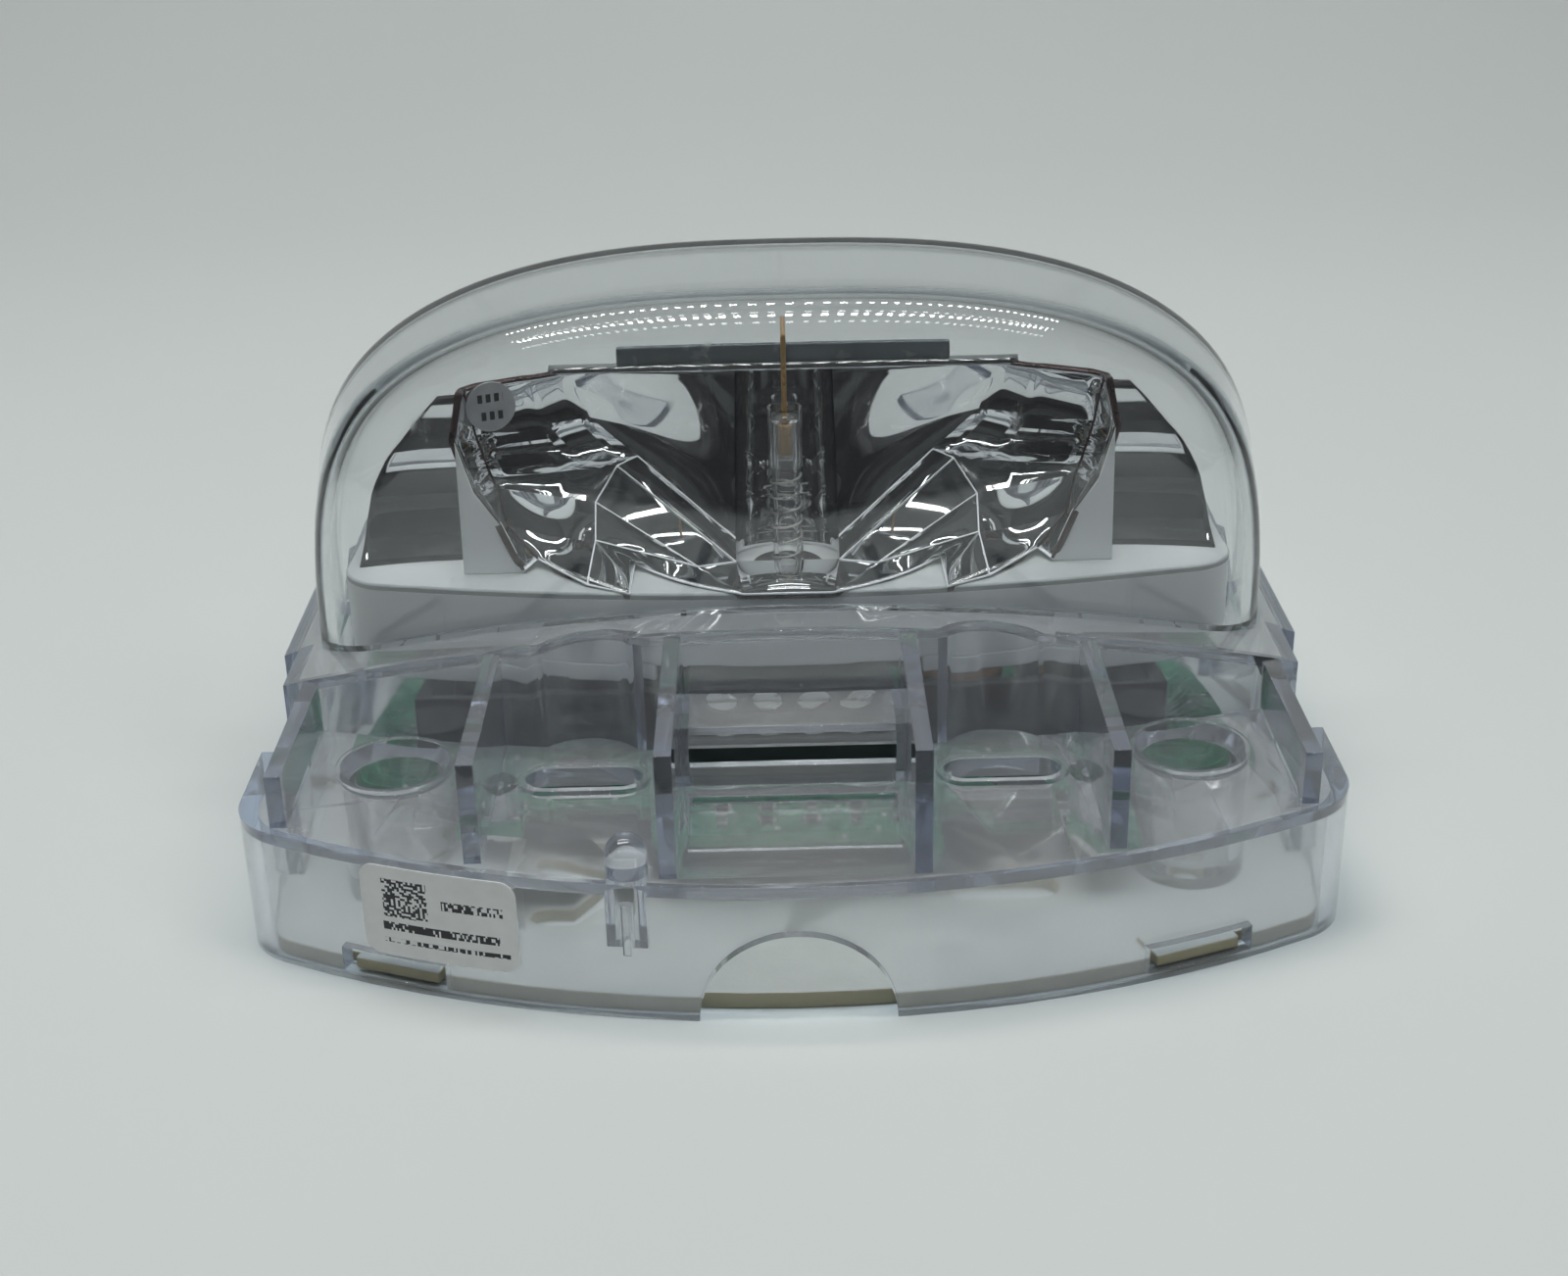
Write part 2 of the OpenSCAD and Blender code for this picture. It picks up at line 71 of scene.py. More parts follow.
class Finish:
    """A node material with short helpers to build it."""

    def __init__(self, name):
        self.material = bpy.data.materials.new(name)
        self.material.use_nodes = True
        self.tree = self.material.node_tree
        self.bsdf = self.tree.nodes["Principled BSDF"]
        self.output = self.tree.nodes["Material Output"]
        self.place = self.add("ShaderNodeTexCoord").outputs["Object"]

    def add(self, kind, **settings):
        node = self.tree.nodes.new(kind)
        for key, value in settings.items():
            setattr(node, key, value)
        return node

    def link(self, source, target):
        self.tree.links.new(source, target)

    def stretched(self, scale):
        """The place, scaled by one number for each axis."""
        mapping = self.add("ShaderNodeMapping")
        mapping.inputs["Scale"].default_value = scale
        self.link(self.place, mapping.inputs["Vector"])
        return mapping.outputs["Vector"]

    def noise(self, scale, detail=3.0, place=None, rough=0.55):
        node = self.add("ShaderNodeTexNoise")
        node.inputs["Scale"].default_value = scale
        node.inputs["Detail"].default_value = detail
        node.inputs["Roughness"].default_value = rough
        self.link(place or self.place, node.inputs["Vector"])
        return node.outputs["Fac"]

    def ramp(self, value, stops):
        node = self.add("ShaderNodeValToRGB")
        elements = node.color_ramp.elements
        while len(elements) < len(stops):
            elements.new(0.5)
        for element, (position, colour) in zip(elements, stops):
            element.position = position
            element.color = (*colour, 1) if len(colour) == 3 else colour
        self.link(value, node.inputs["Fac"])
        return node.outputs["Color"]

    def spread(self, value, lowest, highest, start=0.3, end=0.7):
        node = self.add("ShaderNodeMapRange")
        node.inputs["From Min"].default_value = start
        node.inputs["From Max"].default_value = end
        node.inputs["To Min"].default_value = lowest
        node.inputs["To Max"].default_value = highest
        self.link(value, node.inputs["Value"])
        return node.outputs["Result"]

    def math(self, operation, a, b=0.0):
        node = self.add("ShaderNodeMath", operation=operation)
        for socket, value in zip(node.inputs, (a, b)):
            if isinstance(value, (int, float)):
                socket.default_value = value
            else:
                self.link(value, socket)
        return node.outputs["Value"]

    def axes(self):
        return self.axes_of("Object")

    def axes_of(self, output):
        """X, Y and Z of one output of the texture coordinates."""
        node = self.add("ShaderNodeSeparateXYZ")
        self.link(self.place.node.outputs[output], node.inputs["Vector"])
        return [node.outputs[axis] for axis in "XYZ"]

    def between(self, value, start, end):
        above = self.math("GREATER_THAN", value, start)
        return self.math("MULTIPLY", above, self.math("LESS_THAN", value, end))

    def mix(self, factor, a, b):
        node = self.add("ShaderNodeMix", data_type="RGBA")
        self.link(factor, node.inputs["Factor"])
        for socket, value in zip((node.inputs[6], node.inputs[7]), (a, b)):
            if isinstance(value, tuple):
                socket.default_value = (*value, 1)
            else:
                self.link(value, socket)
        return node.outputs[2]

    def bump(self, height, distance, strength=1.0):
        node = self.add("ShaderNodeBump")
        node.inputs["Strength"].default_value = strength
        node.inputs["Distance"].default_value = distance
        self.link(height, node.inputs["Height"])
        self.link(node.outputs["Normal"], self.bsdf.inputs["Normal"])

    def base(self, colour):
        self.link(colour, self.bsdf.inputs["Base Color"])

    def rough(self, value):
        self.link(value, self.bsdf.inputs["Roughness"])

    def set(self, **values):
        for key, value in values.items():
            self.bsdf.inputs[key.replace("_", " ")].default_value = value
        return self


def shade(colour, factor):
    return tuple(min(1.0, channel * factor) for channel in colour)


def solid(name, colour, rough=(0.35, 0.5), metallic=0.0, grain=1500.0, relief=0.00003, vary=0.12, **more):
    """Opaque plastic, metal or rubber: blotches of colour, a fine grain and uneven gloss."""
    f = Finish(name)
    f.set(Metallic=metallic, **more)
    blotch = f.noise(160.0, 4.0)
    f.base(f.ramp(blotch, [(0.3, shade(colour, 1 - vary)), (0.7, shade(colour, 1 + vary))]))
    f.rough(f.spread(f.noise(420.0, 5.0), *rough))
    f.bump(f.noise(grain, 2.0), relief)
    return f


def wound(name, colour, pitch, axis="Z"):
    """Wire wound in layers: fine ridges across an axis, with painted shade in the grooves between them."""
    f = Finish(name)
    f.set(Metallic=0.75)
    wave = f.add("ShaderNodeTexWave", wave_type="BANDS", bands_direction=axis)
    wave.inputs["Scale"].default_value = 0.314 / pitch
    wave.inputs["Distortion"].default_value = 0.4
    f.link(f.place, wave.inputs["Vector"])
    # Painted shade: the grooves of the ridges are painted down to under half the colour
    f.base(f.ramp(wave.outputs["Fac"], [(0.1, shade(colour, 0.45)), (0.8, colour)]))
    f.rough(f.spread(f.noise(900.0), 0.25, 0.45))
    f.bump(wave.outputs["Fac"], 0.00008)
    return f


def clear(name, tint, density, ior=1.585, rough=(0.0, 0.03), wave=0.00004, wave_scale=70.0, scuffs=None,
          milk=0.0, passing=(0.70, 0.73, 0.74)):
    """Clear, slightly milky moulding that darkens with depth and lets lamps shine through it."""
    f = Finish(name)
    f.set(Transmission_Weight=1.0 - milk, IOR=ior, Base_Color=(1, 1, 1, 1))
    gloss = f.spread(f.noise(45.0, 5.0), *rough)
    if scuffs:
        streaks = f.noise(scuffs[0], 6.0, f.stretched(scuffs[1]), 0.7)
        specks = f.noise(900.0, 2.0)
        marks = f.math("MULTIPLY", f.spread(streaks, 0.0, 1.0, 0.60, 0.72), f.spread(specks, 0.2, 1.0))
        gloss = f.math("ADD", gloss, f.math("MULTIPLY", marks, scuffs[2]))
    f.rough(gloss)
    f.bump(f.noise(wave_scale, 2.0), wave)
    volume = f.add("ShaderNodeVolumeAbsorption")
    volume.inputs["Color"].default_value = (*tint, 1)
    volume.inputs["Density"].default_value = density
    f.link(volume.outputs["Volume"], f.output.inputs["Volume"])
    path = f.add("ShaderNodeLightPath")
    through = f.add("ShaderNodeBsdfTransparent")
    through.inputs["Color"].default_value = (*passing, 1)
    swap = f.add("ShaderNodeMixShader")
    f.link(path.outputs["Is Shadow Ray"], swap.inputs["Fac"])
    f.link(f.bsdf.outputs["BSDF"], swap.inputs[1])
    f.link(through.outputs["BSDF"], swap.inputs[2])
    f.link(swap.outputs["Shader"], f.output.inputs["Surface"])
    return f


def chrome(name, colour, ripple, scale=55.0):
    """Vacuum-metallised plastic: a mirror with a faint ripple and some haze."""
    f = Finish(name)
    f.set(Metallic=1.0)
    f.base(f.ramp(f.noise(30.0, 3.0), [(0.3, shade(colour, 0.94)), (0.7, shade(colour, 1.03))]))
    f.rough(f.spread(f.noise(260.0, 5.0), 0.02, 0.07, 0.35, 0.8))
    f.bump(f.noise(scale, 3.0), ripple)
    return f


def board_finish():
    """Green solder mask over traces, with pale pads."""
    f = Finish("solder_mask")
    bricks = f.add("ShaderNodeTexBrick")
    bricks.offset = 0.37
    for key, value in {"Scale": 210.0, "Mortar Size": 0.035, "Brick Width": 1.9, "Row Height": 0.42}.items():
        bricks.inputs[key].default_value = value
    f.link(f.place, bricks.inputs["Vector"])
    cells = f.add("ShaderNodeTexVoronoi", feature="F1", distance="CHEBYCHEV")
    cells.inputs["Scale"].default_value = 330.0
    f.link(f.place, cells.inputs["Vector"])
    green = f.ramp(f.noise(120.0, 4.0), [(0.3, (0.004, 0.075, 0.040)), (0.7, (0.008, 0.120, 0.062))])
    traced = f.mix(bricks.outputs["Fac"], green, (0.016, 0.190, 0.095))
    pads = f.math("LESS_THAN", cells.outputs["Distance"], 0.10)
    f.base(f.mix(pads, traced, (0.42, 0.44, 0.40)))
    f.rough(f.spread(f.noise(300.0), 0.22, 0.36))
    f.bump(bricks.outputs["Fac"], 0.00005)
    return f


def hashed_cells(f, column, row, seed=None):
    """A number from 0 to 1 for each cell of a grid."""
    across, along, spread = CELL_HASH
    mixed = f.math("ADD", f.math("MULTIPLY", column, across), f.math("MULTIPLY", row, along))
    if seed is not None:
        mixed = f.math("ADD", mixed, seed)
    return f.math("FRACT", f.math("MULTIPLY", f.math("SINE", mixed), spread))


def dashes(f, across, along, pitch, fill, seed):
    """Grey bars of uneven length that stand in for print."""
    column = f.math("FLOOR", f.math("DIVIDE", across, pitch))
    row = f.math("FLOOR", f.math("DIVIDE", along, pitch * 2.1))
    return f.math("LESS_THAN", hashed_cells(f, column, row, seed), fill)


def label_finish():
    """White label with a block of random squares and rows of bars, standing in for print."""
    f = Finish("label_paper")
    lo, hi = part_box("label")
    x, _, z = f.axes()
    left, top = lo.x, hi.z
    width, height = hi.x - lo.x, hi.z - lo.z
    square = 0.00026
    column = f.math("FLOOR", f.math("DIVIDE", x, square))
    row = f.math("FLOOR", f.math("DIVIDE", z, square))
    hashed = hashed_cells(f, column, row)
    code_area = f.math("MULTIPLY", f.between(x, left + 0.14 * width, left + 0.43 * width),
                       f.between(z, top - 0.56 * height, top - 0.14 * height))
    marks = f.math("MULTIPLY", code_area, f.math("GREATER_THAN", hashed, 0.47))
    rows = [(0.52, 0.91, 0.30, 0.40, 0.6), (0.13, 0.88, 0.62, 0.71, 0.75), (0.13, 0.94, 0.80, 0.85, 0.6)]
    for start, end, above, below, fill in rows:
        area = f.math("MULTIPLY", f.between(x, left + start * width, left + end * width),
                      f.between(z, top - below * height, top - above * height))
        bars = dashes(f, x, z, 0.00021, fill, above)
        marks = f.math("MAXIMUM", marks, f.math("MULTIPLY", area, bars))
    paper = f.ramp(f.noise(400.0, 4.0), [(0.3, (0.88, 0.89, 0.89)), (0.7, (0.95, 0.96, 0.96))])
    f.base(f.mix(marks, paper, (0.015, 0.015, 0.02)))
    f.rough(f.spread(f.noise(900.0), 0.35, 0.5))
    f.bump(f.noise(2500.0), 0.00001)
    return f


def sticker_finish():
    """Grey sticker with two short rows of bars."""
    f = Finish("sticker_paper")
    lo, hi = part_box("candela_sticker")
    centre = (lo + hi) / 2
    x, _, z = f.axes()
    marks = None
    for dz in (0.00105, -0.00105):
        area = f.math("MULTIPLY", f.between(x, centre.x - 0.0014, centre.x + 0.0014),
                      f.between(z, centre.z + dz - 0.0005, centre.z + dz + 0.0005))
        bars = f.math("LESS_THAN", f.math("PINGPONG", f.math("ADD", x, dz), 0.00045), 0.00026)
        area = f.math("MULTIPLY", area, bars)
        marks = area if marks is None else f.math("MAXIMUM", marks, area)
    paper = f.ramp(f.noise(500.0), [(0.3, (0.34, 0.35, 0.36)), (0.7, (0.42, 0.43, 0.44))])
    f.base(f.mix(marks, paper, (0.03, 0.03, 0.03)))
    f.rough(f.spread(f.noise(700.0), 0.4, 0.55))
    f.bump(f.noise(2500.0), 0.00001)
    return f


body_clear = clear("clear_body", (0.52, 0.60, 0.75), 75.0, rough=(0.04, 0.10), milk=0.10,
                   scuffs=(60.0, (1, 1, 0.5), 0.10))
body_clear.set(Coat_Weight=1.0, Coat_Roughness=0.02)
dome_clear = clear("clear_dome", (0.56, 0.62, 0.66), 90.0, rough=(0.0, 0.02), wave=0.00002, milk=0.01,
                   scuffs=(260.0, (1, 1, 0.12), 0.35), passing=(0.86, 0.87, 0.88))
mirror = chrome("mirror", (0.93, 0.94, 0.95), 0.000012)
unplated = solid("unplated_grey", (0.45, 0.47, 0.47), rough=(0.4, 0.5), relief=0.000002, vary=0.01)
shade_grey = solid("shade_grey", (0.86, 0.88, 0.88), rough=(0.3, 0.4), relief=0.000004, vary=0.02)
# Pale white for the beads on the optic's lip and facets: a painted highlight along edges that are chrome
painted_highlight_edge = solid("painted_highlight_edge", (0.88, 0.90, 0.92), rough=(0.2, 0.3), relief=0.000004, vary=0.03)
brow_grey = solid("brow_grey", (0.085, 0.10, 0.11), rough=(0.2, 0.3), relief=0.000004, vary=0.05)
mirror_rim = solid("mirror_rim", (0.10, 0.07, 0.07), rough=(0.2, 0.4), metallic=0.8)
steel = solid("steel", (0.62, 0.62, 0.61), (0.22, 0.4), 1.0, 2600.0)
brass = solid("brass", (0.78, 0.60, 0.30), (0.2, 0.38), 1.0, 2600.0)
black = solid("black_moulding", (0.012, 0.013, 0.014), (0.4, 0.6), vary=0.3)
ivory = solid("ivory_moulding", (0.55, 0.53, 0.43), (0.4, 0.6), relief=0.00005, vary=0.05)
# The plate is ivory; its upward faces are painted a paler grey and its edges a darker ivory, painted light
# and shade that follow which way each face points
up = ivory.axes_of("Normal")[2]
painted_lit_top = ivory.ramp(ivory.noise(160.0, 4.0), [(0.3, (0.42, 0.43, 0.41)), (0.7, (0.46, 0.47, 0.45))])
painted_shaded_edge = ivory.ramp(ivory.noise(160.0, 4.0), [(0.3, (0.36, 0.33, 0.22)), (0.7, (0.40, 0.37, 0.26))])
ivory.base(ivory.mix(ivory.spread(up, 0.0, 1.0, 0.4, 0.6), painted_shaded_edge, painted_lit_top))
glass = clear("tube_glass", (0.80, 0.84, 0.86), 60.0, ior=1.47, rough=(0.0, 0.01), wave=0.00001,
              wave_scale=400.0, passing=(0.88, 0.89, 0.90))
sleeve = clear("silicone", (0.56, 0.50, 0.46), 170.0, ior=1.41, rough=(0.03, 0.12), wave=0.00003,
               wave_scale=500.0)
amber = solid("amber_wire", (0.30, 0.17, 0.05), (0.25, 0.4), 0.25, Coat_Weight=0.4)

FINISHES = {
    "back_plate": ivory,
    "circuit_board": board_finish(),
    "board_screws": steel,
    "inner_frame": black,
    "flash_tube": glass,
    "tube_anode": amber,
    "tube_cathode": steel,
    "tube_sleeve": sleeve,
    "tube_socket": solid("grommet_rubber", (0.02, 0.017, 0.017), (0.5, 0.7), relief=0.00006),
    "candela_sticker": sticker_finish(),
    "label": label_finish(),
    "flash_capacitor": solid("capacitor_sleeve", (0.02, 0.024, 0.05), (0.18, 0.32), vary=0.2),
    "trigger_transformer": wound("transformer_tape", (0.75, 0.60, 0.22), 0.0009),
    "inductor": wound("inductor_wire", (0.72, 0.33, 0.12), 0.0005),
    "power_transistor": solid("epoxy", (0.02, 0.02, 0.022), (0.45, 0.65), relief=0.00006),
    "chip_set": solid("chip_epoxy", (0.022, 0.022, 0.024), (0.5, 0.7), relief=0.00006),
    "pin_header": solid("nylon", (0.80, 0.78, 0.70), (0.35, 0.5)),
    "terminal_block": solid("terminal_plastic", (0.014, 0.018, 0.020), (0.3, 0.5), vary=0.3),
    "terminal_contacts": brass,
    "volume_switch": black,
    "tone_switch": black,
    "volume_knob": solid("knob_plastic", (0.82, 0.82, 0.78), (0.3, 0.45), vary=0.05),
    "tone_knob": solid("knob_plastic_tone", (0.82, 0.82, 0.78), (0.3, 0.45), vary=0.05),
    "horn_housing": black,
    "horn_magnet": solid("ferrite", (0.07, 0.07, 0.075), (0.5, 0.7), 0.2, relief=0.00006),
    "horn_coil": wound("coil_wire", (0.75, 0.36, 0.13), 0.0003),
    "horn_diaphragm": solid("diaphragm_film", (0.72, 0.70, 0.62), (0.2, 0.35), 0.85),
    "horn_ring": steel,
    "horn_gasket": solid("foam", (0.025, 0.025, 0.025), (0.7, 0.9), grain=2500.0, relief=0.0002),
    "horn_leads": solid("lead_sleeve", (0.45, 0.03, 0.02), (0.3, 0.45)),
}
for i in range(1, 5):
    FINISHES[f"terminal_screw_{i}"] = steel
    FINISHES[f"terminal_cage_{i}"] = brass


def paint(obj, *finishes):
    obj.data.materials.clear()
    for finish in finishes:
        obj.data.materials.append(finish.material)


# ---- mesh helpers ----


def smooth(obj, angle=35.0):
    """Smooth shading, sharp where faces meet at more than an angle."""
    obj.data.shade_smooth()
    obj.data.set_sharp_from_angle(angle=math.radians(angle))


def piece(name, bm, finish, body=HOUSING, replaces=()):
    """Turns a bmesh in millimetres into a piece of the object."""
    mesh = bpy.data.meshes.new(name)
    bmesh.ops.scale(bm, vec=(MM, MM, MM), verts=bm.verts)
    bm.to_mesh(mesh)
    bm.free()
    obj = bpy.data.objects.new(name, mesh)
    bpy.context.scene.collection.objects.link(obj)
    finishes = finish if isinstance(finish, tuple) else (finish,)
    paint(obj, *finishes)
    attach(obj, body)
    if replaces:
        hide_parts(*replaces)
    return obj


def wire(name, runs, radius, finish, node, capped=False):
    """Round wire along runs of points in metres, in place of a CAD node."""
    curve = bpy.data.curves.new(name, "CURVE")
    curve.dimensions = "3D"
    curve.bevel_depth = radius
    curve.bevel_resolution = 2
    curve.use_fill_caps = capped
    for run in runs:
        spline = curve.splines.new("POLY")
        spline.points.add(len(run) - 1)
        for point, place in zip(spline.points, run):
            point.co = (*place, 1)
    obj = bpy.data.objects.new(name, curve)
    bpy.context.scene.collection.objects.link(obj)
    curve.materials.append(finish.material)
    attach(obj, HOUSING)
    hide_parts(node)


def bevel(obj, width, segments=2, angle=35.0):
    modifier = obj.modifiers.new("edges", "BEVEL")
    modifier.width = width * MM
    modifier.segments = segments
    modifier.limit_method = "ANGLE"
    modifier.angle_limit = math.radians(angle)
    modifier.harden_normals = False
    return modifier


def refined_copy(node, name, width):
    """A copy of a CAD node's mesh, welded, with its flat faces merged and its edges rounded."""
    bm = bmesh.new()
    bm.from_mesh(nodes[node].data)
    bmesh.ops.remove_doubles(bm, verts=bm.verts, dist=0.002 * MM)
    bmesh.ops.dissolve_limit(bm, angle_limit=math.radians(1.2), verts=bm.verts, edges=bm.edges)
    bmesh.ops.scale(bm, vec=(1 / MM, 1 / MM, 1 / MM), verts=bm.verts)
    obj = piece(name, bm, FINISHES.get(node, body_clear), replaces=(node,))
    smooth(obj, 30.0)
    bevel(obj, width)
    return obj


# ---- chassis ----


def make_chassis():
    obj = refined_copy("chassis", "chassis_moulding", 0.28)
    paint(obj, body_clear)


# ---- lens dome ----

CROWN_TOP = 30.95
CROWN_R = 185.0
DOME_WALL = 2.2
DOME_Z = 30.0
DOME_POWER = 2.6
DOME_SHRINK = 0.052
DOME_BOW = 390.0
DOME_RAKE = 0.07


def crown(x):
    return CROWN_TOP - CROWN_R + math.sqrt(CROWN_R**2 - x * x)


def dome_point(angle, reach, depth, inset):
    """Point of the lens: angle round the section, reach from its middle line, depth from its rear face."""
    half = DOME_HIGH.x - inset
    rise = DOME_HIGH.z - inset - DOME_Z
    c, s = math.cos(angle), math.sin(angle)
    x = half * math.copysign(abs(c) ** (2 / DOME_POWER), c)
    z = rise * abs(s) ** (2 / DOME_POWER)
    radius = math.hypot(x, z)
    rear = DOME_HIGH.y - inset
    front = DOME_LOW.y + inset
    length = rear - front
    narrowed = reach + radius
    scale = narrowed / radius * (1 - DOME_SHRINK * min(1.0, depth / length))
    x, z = x * scale, z * scale
    lean = min(1.0, max(0.0, depth / length))
    y = rear - depth + lean * (x * x / DOME_BOW + z * DOME_RAKE)
    sag = crown(x) - DOME_Z
    z += DOME_Z + sag * max(0.0, 1 - z / 24.0) ** 2
    return Vector((x, y, z))


def dome_profile(inset, rear_r, front_r):
    """(reach, depth) pairs from the middle of the rear face, along the side and to the front."""
    length = DOME_HIGH.y - DOME_LOW.y - 2 * inset
    middle = -1e3
    points = [(middle * f, 0.0) for f in (1.0, 0.75, 0.5, 0.25, 0.1)]
    for i in range(7):
        a = math.pi / 2 * i / 6
        points.append((-rear_r + rear_r * math.sin(a), rear_r * (1 - math.cos(a))))
    for i in range(1, 7):
        points.append((0.0, rear_r + (length - rear_r - front_r) * i / 7))
    for i in range(13):
        a = math.pi / 2 * i / 12
        points.append((-front_r * (1 - math.cos(a)), length - front_r * (1 - math.sin(a))))
    points += [(middle * f, length) for f in (0.06, 0.15, 0.3, 0.5, 0.75, 1.0)]
    return points


def dome_rings(bm, inset, rear_r, front_r):
    """Rings of vertices round the section, with one shared vertex at each end."""
    profile = dome_profile(inset, rear_r, front_r)
    steps = 72
    half = DOME_HIGH.x - inset
    rise = DOME_HIGH.z - inset - DOME_Z
    rings = []
    for index, (reach, depth) in enumerate(profile):
        if index in (0, len(profile) - 1):
            rings.append([bm.verts.new(dome_point(math.pi / 2, -rise, depth, inset))])
            continue
        ring = []
        for i in range(steps + 1):
            angle = math.pi * i / steps
            c, s = abs(math.cos(angle)), abs(math.sin(angle))
            radius = math.hypot(half * c ** (2 / DOME_POWER), rise * s ** (2 / DOME_POWER))
            corner = rear_r if depth == 0.0 else front_r
            inward = -corner - (radius - corner) * reach / -1e3 if reach < -50 else reach
            ring.append(bm.verts.new(dome_point(angle, inward, depth, inset)))
        rings.append(ring)
    return rings


def skin(bm, rings, flip):
    for a, b in zip(rings, rings[1:]):
        for i in range(max(len(a), len(b)) - 1):
            j = i + 1
            near = [a[min(i, len(a) - 1)], a[min(j, len(a) - 1)]]
            far = [b[min(j, len(b) - 1)], b[min(i, len(b) - 1)]]
            corners = list(dict.fromkeys(near + far))
            if flip:
                corners.reverse()
            bm.faces.new(corners)


def make_dome():
    bm = bmesh.new()
    outer = dome_rings(bm, 0.0, 3.5, 8.0)
    inner = dome_rings(bm, DOME_WALL, 1.6, 6.0)
    skin(bm, outer, True)
    skin(bm, inner, False)
    for side in (0, -1):
        for (a, b), (c, d) in zip(zip(outer, outer[1:]), zip(inner, inner[1:])):
            corners = list(dict.fromkeys([a[side], b[side], d[side], c[side]]))
            if side == 0:
                corners.reverse()
            bm.faces.new(corners)
    bmesh.ops.recalc_face_normals(bm, faces=bm.faces)
    obj = piece("lens_dome_shell", bm, dome_clear, replaces=("lens_dome",))
    smooth(obj, 50.0)


# ---- reflector ----

# Key points of the right half: X across, Y towards the wall's top, Z out of the wall
CHANNEL_TOP = Vector((5.6, -12.0, 53.4))
CHANNEL_LOW = Vector((6.0, -16.5, 34.5))
CHANNEL_FOOT = Vector((6.0, -17.5, 32.0))
PANEL_TOP = Vector((24.5, -10.6, 53.4))
PANEL_MID = Vector((22.6, -10.2, 47.6))
PANEL_LOW = Vector((17.2, -11.6, 43.2))
PEAK = Vector((19.6, -12.0, 42.2))
KNEE = Vector((22.1, -15.0, 38.9))
APEX = Vector((10.3, -21.0, 33.0))
HEEL = Vector((22.1, -18.0, 35.3))
TOE = Vector((22.9, -23.6, 32.2))
LIP_MID = Vector((5.0, -27.0, 32.0))
LIP_NOTCH = Vector((17.7, -18.2, 32.4))
LIP_STEP = Vector((17.9, -26.2, 32.0))
LIP_END = Vector((30.4, -19.4, 32.4))
WALL_TOP = Vector((36.0, -16.6, 53.4))
BLADE_IN = [Vector((29.0, -17.4, 32.9)), Vector((32.3, -16.0, 36.6)), Vector((33.4, -14.6, 40.8)),
            Vector((34.2, -14.4, 43.0)), Vector((35.2, -15.4, 47.6)), WALL_TOP]
BLADE_OUT = [LIP_END, Vector((32.7, -19.2, 38.0)), Vector((35.5, -19.0, 42.0)), Vector((37.2, -19.0, 48.2)),
             Vector((36.0, -18.6, 53.4))]
FLANGE_X = 37.4
PLATE_LOW, PLATE_TOP = 30.95, 31.9
HEM_THICKNESS = 0.9
HEM_LOW, HEM_STEP, HEM_TOP = 21.1, 23.1, 31.2
HEM_GAP = 13.5  # half width of the gap in the hem over the terminals


def path(points, counts):
    """Points along a polyline, each of its segments cut into its own count of steps."""
    out = [points[0]]
    for a, b, count in zip(points, points[1:], counts):
        out += [a.lerp(b, i / count) for i in range(1, count + 1)]
    return out


def patch(bm, bottom, right, top, left, bulge=None):
    """Coons patch between four runs of points, pushed back by bulge(u, v) where it is given."""
    across, along = len(bottom) - 1, len(left) - 1
    a, b, c, d = bottom[0], bottom[-1], top[-1], top[0]
    normal = (c - a).cross(d - b).normalized()
    if normal.y < 0:
        normal.negate()
    rows = []
    for j in range(along + 1):
        v = j / along
        row = []
        for i in range(across + 1):
            u = i / across
            ruled = bottom[i].lerp(top[i], v) + left[j].lerp(right[j], u)
            p = ruled - a.lerp(b, u).lerp(d.lerp(c, u), v)
            if bulge and 0 < i < across and 0 < j < along:
                p = p + normal * bulge(u, v)
            row.append(bm.verts.new(p))
        rows.append(row)
    for lower, upper in zip(rows, rows[1:]):
        for i in range(across):
            bm.faces.new([lower[i], lower[i + 1], upper[i + 1], upper[i]])


def pan(u, v, power):
    """1 in the middle of a patch, falling to 0 at its border."""
    return max(0.0, 16 * u * (1 - u) * v * (1 - v)) ** power


def joggled(u, v, depth, power):
    """Trough along a wall, with one step where the wall is set back."""
    t = min(1.0, max(0.0, (u - 0.36) / 0.12))
    offset = 0.75 + 0.5 * t * t * (3 - 2 * t)
    return depth * offset * max(0.0, 4 * v * (1 - v)) ** power * min(1.0, 9 * u) * min(1.0, 9 * (1 - u))


def panel_bulge(u, v):
    return 1.6 * pan(u, v, 1.0) * (1.2 - 0.9 * v)


def lip_curve():
    """Curved run of the lip between its middle and the notch."""
    side = LIP_NOTCH - LIP_MID
    bow = Vector((side.y, -side.x, 0)).normalized() * 1.1
    return [LIP_MID.lerp(LIP_NOTCH, i / 16) + bow * math.sin(math.pi * i / 16) for i in range(17)]


def beads(name, runs, radius, finish):
    """Fine rounded beads along runs of points of the right half and along their mirror images."""
    runs = [[(sign * p.x * MM, p.y * MM, p.z * MM) for p in run] for run in runs for sign in (-1, 1)]
    wire(name, runs, radius * MM, finish, "reflector", capped=True)


def make_optic_edges():
    """Rounded edges of the optic: its lip, its facets and its blades, with pale beads on the lip and facets
    as a painted highlight.
    """
    lip = [LIP_END, BLADE_IN[0], TOE, LIP_STEP, LIP_NOTCH] + lip_curve()[::-1][1:]
    lip.append(Vector((0.0, LIP_MID.y, LIP_MID.z)))
    beads("optic_lip_edge", [lip], 0.14, painted_highlight_edge)
    forward = Vector((0, -0.12, 0.05))
    facets = [[PANEL_LOW, PEAK, KNEE, APEX], [PEAK, CHANNEL_FOOT], [PANEL_LOW, CHANNEL_LOW],
              [KNEE, HEEL, TOE], [HEEL, APEX], [APEX, CHANNEL_FOOT]]
    beads("optic_facet_edges", [[p + forward for p in run] for run in facets], 0.09, painted_highlight_edge)
    beads("optic_blade_edges", [BLADE_OUT[:], [p + forward for p in BLADE_IN]], 0.10, mirror_rim)


